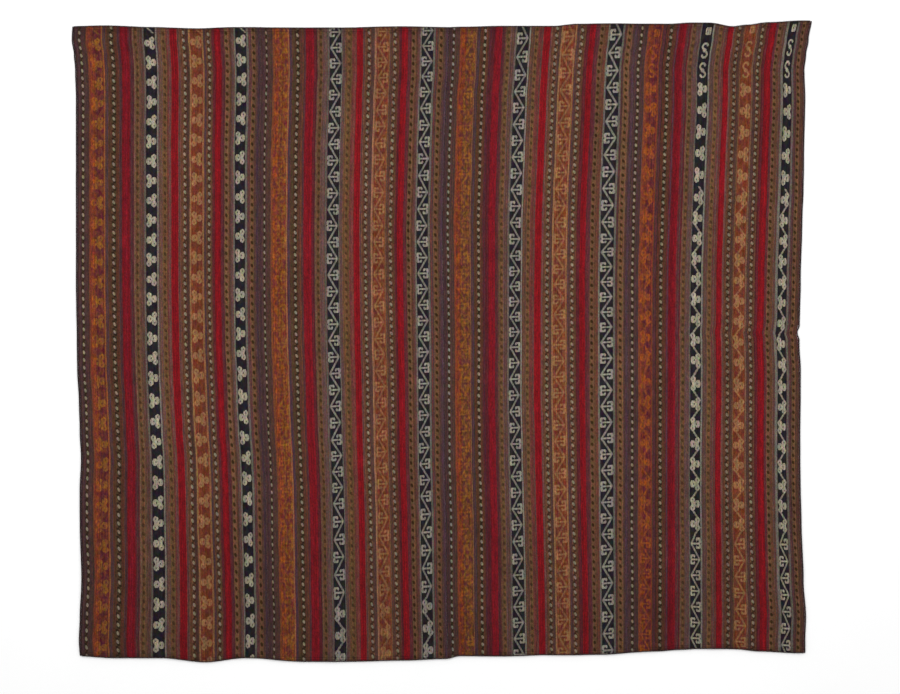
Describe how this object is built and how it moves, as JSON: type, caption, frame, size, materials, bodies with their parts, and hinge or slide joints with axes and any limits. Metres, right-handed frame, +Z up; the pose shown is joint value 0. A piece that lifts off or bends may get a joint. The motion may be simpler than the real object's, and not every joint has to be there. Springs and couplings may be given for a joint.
{
  "type": "flatweave rug",
  "caption": "Flat wool rug of sewn warp-faced strips with stripes, small motif bands and dark overcast sides, lying on a floor.",
  "frame": {"origin": "under the middle of the rug's bounding box, on the floor that it lies on", "axes": "+Z up out of the face, +X across the strips, +Y along their warp"},
  "size_m": [1.7855, 1.5471, 0.0074],
  "materials": {
    "striped_wool": "matt warp-faced wool",
    "overcast_wool": "matt dark wool overcasting"
  },
  "bodies": {
    "root": {"panel_1": "striped_wool", "panel_2": "striped_wool", "panel_3": "striped_wool", "panel_4": "striped_wool", "selvedge_left": "overcast_wool", "selvedge_right": "overcast_wool"}
  },
  "joints": []
}
